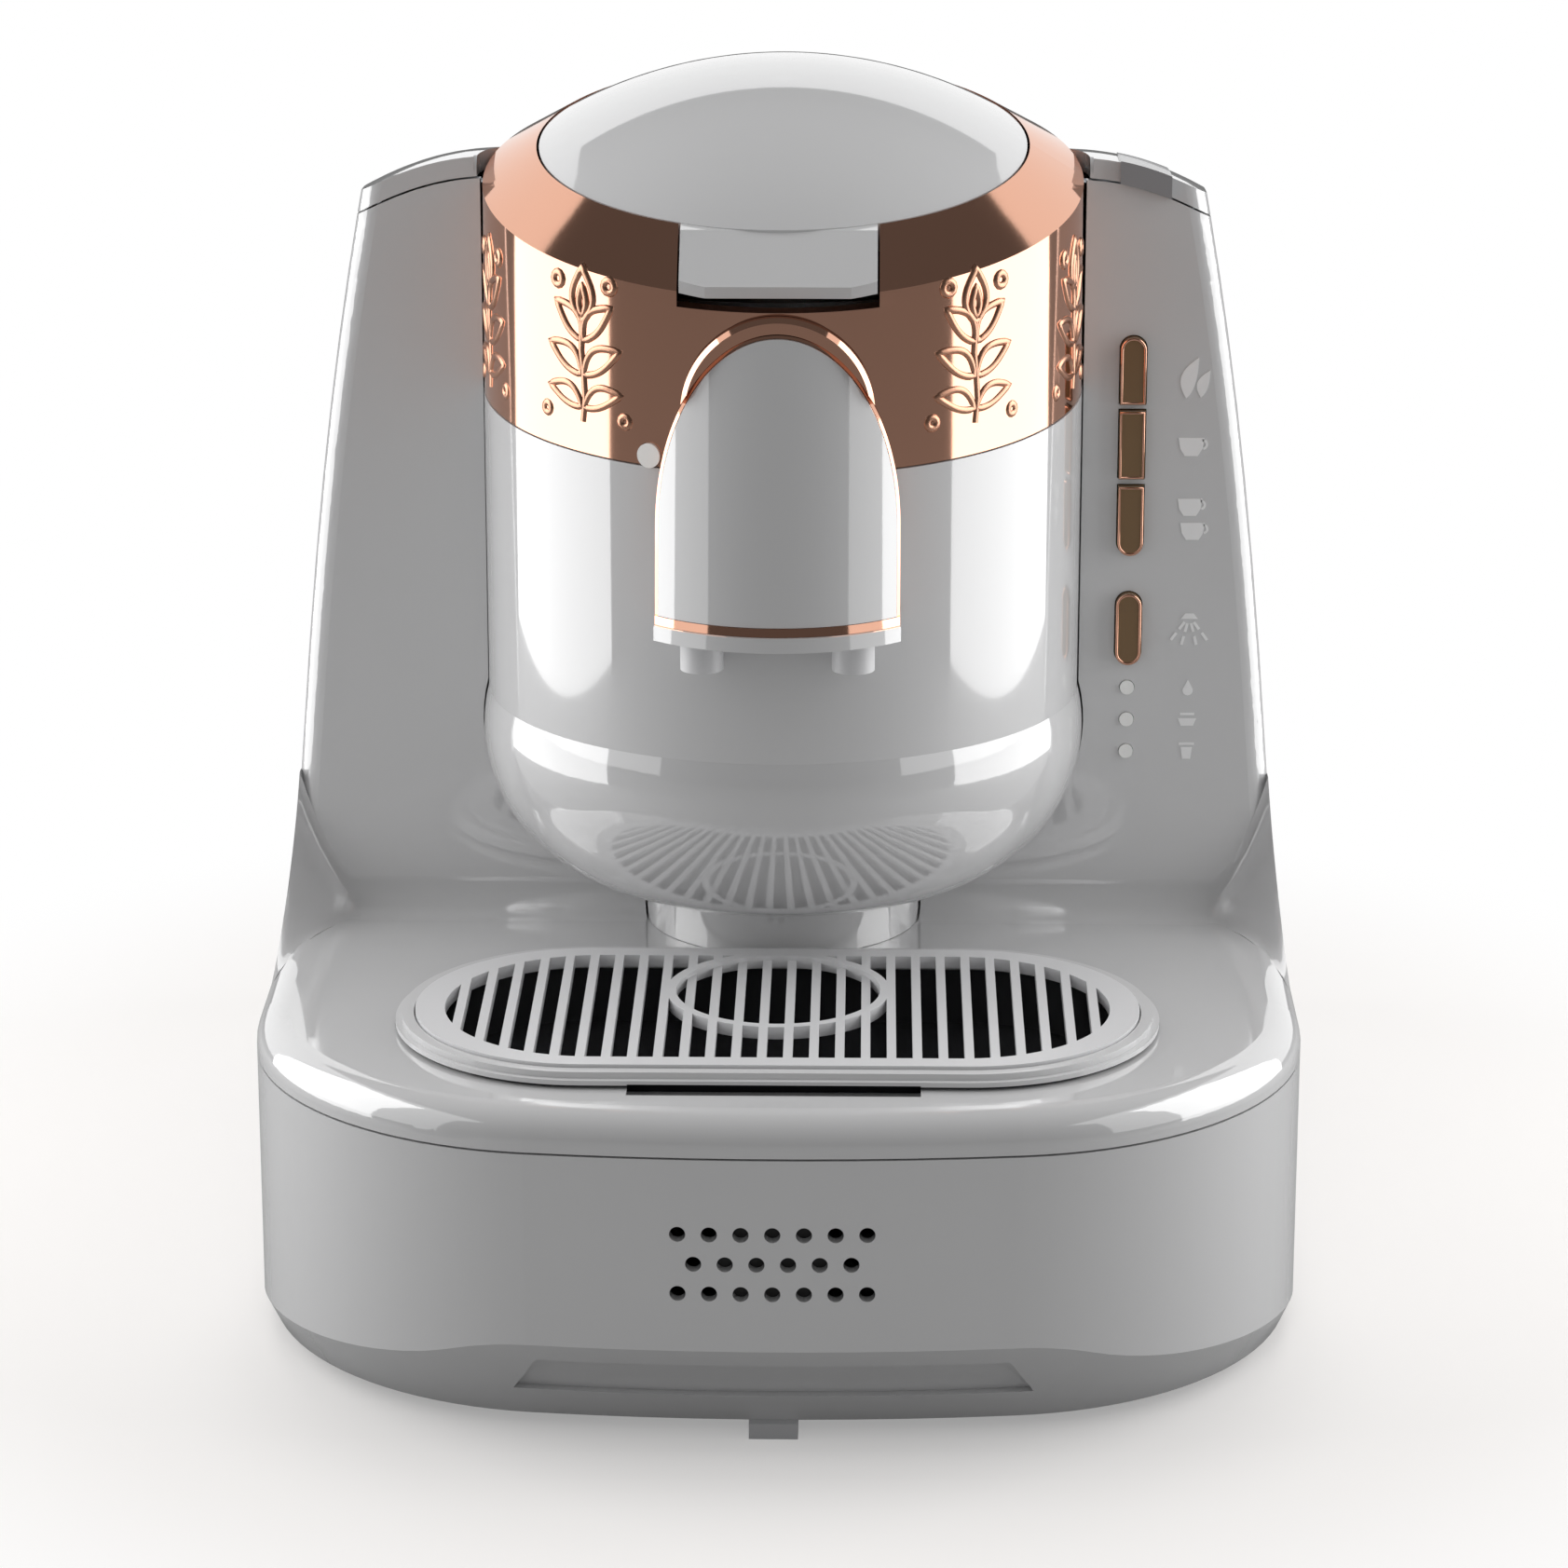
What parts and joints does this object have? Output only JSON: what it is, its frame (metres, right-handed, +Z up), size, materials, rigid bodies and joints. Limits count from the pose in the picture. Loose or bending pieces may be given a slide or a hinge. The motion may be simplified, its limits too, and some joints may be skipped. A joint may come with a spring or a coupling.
{
  "type": "electric turkish coffee maker",
  "caption": "White countertop Turkish coffee maker with a copper brewing unit, domed lid, twin-nozzle spout, drip tray, push buttons and a lift-off rear water tank.",
  "frame": {"origin": "on the table, under the middle of the casing", "axes": "+Z up, the front with the spout faces -Y, +X to the right as seen from the front"},
  "size_m": [0.197, 0.256, 0.2341],
  "materials": {
    "white_gloss": "gloss",
    "white_satin": "satin",
    "copper": "polished",
    "button_brown": "gloss",
    "smoke_clear": "gloss",
    "grey_plastic": "matte",
    "black_plastic": "matte",
    "lamp_white": "gloss",
    "steel": "brushed",
    "aluminium": "satin",
    "silicone": "matte",
    "dark_rubber": "matte",
    "circuit_green": "satin"
  },
  "bodies": {
    "casing": {"base_shell": "white_gloss", "base_plate": "grey_plastic", "rubber_feet": "dark_rubber", "front_tab": "grey_plastic", "casing_screws": "steel", "upper_casing": "white_gloss", "tank_seal": "silicone", "copper_ring": "copper", "indicator_lens": "lamp_white", "brew_housing": "white_gloss", "hinge_bracket": "white_satin", "lid_hinge_pin": "steel", "brew_pot": "steel", "pot_carrier": "black_plastic", "heater_plate": "aluminium", "thermostat": "aluminium", "outlet_valve_seat": "silicone", "solenoid": "black_plastic", "outlet_tube": "silicone", "water_nozzle": "steel", "spout_shell": "white_gloss", "spout_trim": "copper", "spout_base": "white_gloss", "spout_nozzles": "white_satin", "spout_channel": "black_plastic", "spout_collar": "copper", "tact_switches": "black_plastic", "status_lamps": "lamp_white", "control_board": "circuit_green", "water_pump": "black_plastic", "pump_mounts": "dark_rubber", "power_board": "circuit_green", "buzzer": "black_plastic", "cord_inlet": "black_plastic", "suction_tube": "silicone", "delivery_tube": "silicone"},
    "lid": {"lid_shell": "white_gloss", "lid_liner": "white_satin", "lid_gasket": "silicone"},
    "tank": {"water_tank": "smoke_clear", "tank_valve": "black_plastic", "cover_hinge_pin": "steel"},
    "cover": {"tank_cover": "white_gloss", "cover_tab": "smoke_clear"},
    "tray": {"drip_tray": "white_gloss"},
    "grate": {"cup_grate": "white_satin"},
    "heat_key": {"heat_button": "button_brown"},
    "single_key": {"single_button": "button_brown"},
    "double_key": {"double_button": "button_brown"},
    "clean_key": {"clean_button": "button_brown"},
    "plunger": {"outlet_plunger": "steel"}
  },
  "joints": [
    {"name": "lid_hinge", "type": "hinge", "parent": "casing", "child": "lid", "pos_m": [0, 0.03911, 0.22375], "axis": [-1, 0, 0], "range_deg": [0, 90]},
    {"name": "tank_lift", "type": "slide", "parent": "casing", "child": "tank", "axis": [0, 0, 1], "range_m": [0, 0.12]},
    {"name": "cover_hinge", "type": "hinge", "parent": "tank", "child": "cover", "pos_m": [0, 0.119, 0.18105], "axis": [-1, 0, 0], "range_deg": [0, 80]},
    {"name": "tray_tip", "type": "hinge", "parent": "casing", "child": "tray", "pos_m": [0, -0.0416, 0.0669], "axis": [-1, 0, 0], "range_deg": [0, 12]},
    {"name": "grate_lift", "type": "slide", "parent": "tray", "child": "grate", "axis": [0, 0, 1], "range_m": [0, 0.005]},
    {"name": "heat_press", "type": "slide", "parent": "casing", "child": "heat_key", "axis": [0, 1, 0], "range_m": [0, 0.0012], "stiffness_N_per_m": 600, "springref_m": -0.0003},
    {"name": "single_press", "type": "slide", "parent": "casing", "child": "single_key", "axis": [0, 1, 0], "range_m": [0, 0.0012], "stiffness_N_per_m": 600, "springref_m": -0.0003},
    {"name": "double_press", "type": "slide", "parent": "casing", "child": "double_key", "axis": [0, 1, 0], "range_m": [0, 0.0012], "stiffness_N_per_m": 600, "springref_m": -0.0003},
    {"name": "clean_press", "type": "slide", "parent": "casing", "child": "clean_key", "axis": [0, 1, 0], "range_m": [0, 0.0012], "stiffness_N_per_m": 600, "springref_m": -0.0003},
    {"name": "plunger_slide", "type": "slide", "parent": "casing", "child": "plunger", "axis": [0, 0, -1], "range_m": [0, 0.0025], "stiffness_N_per_m": 500, "springref_m": -0.001}
  ]
}
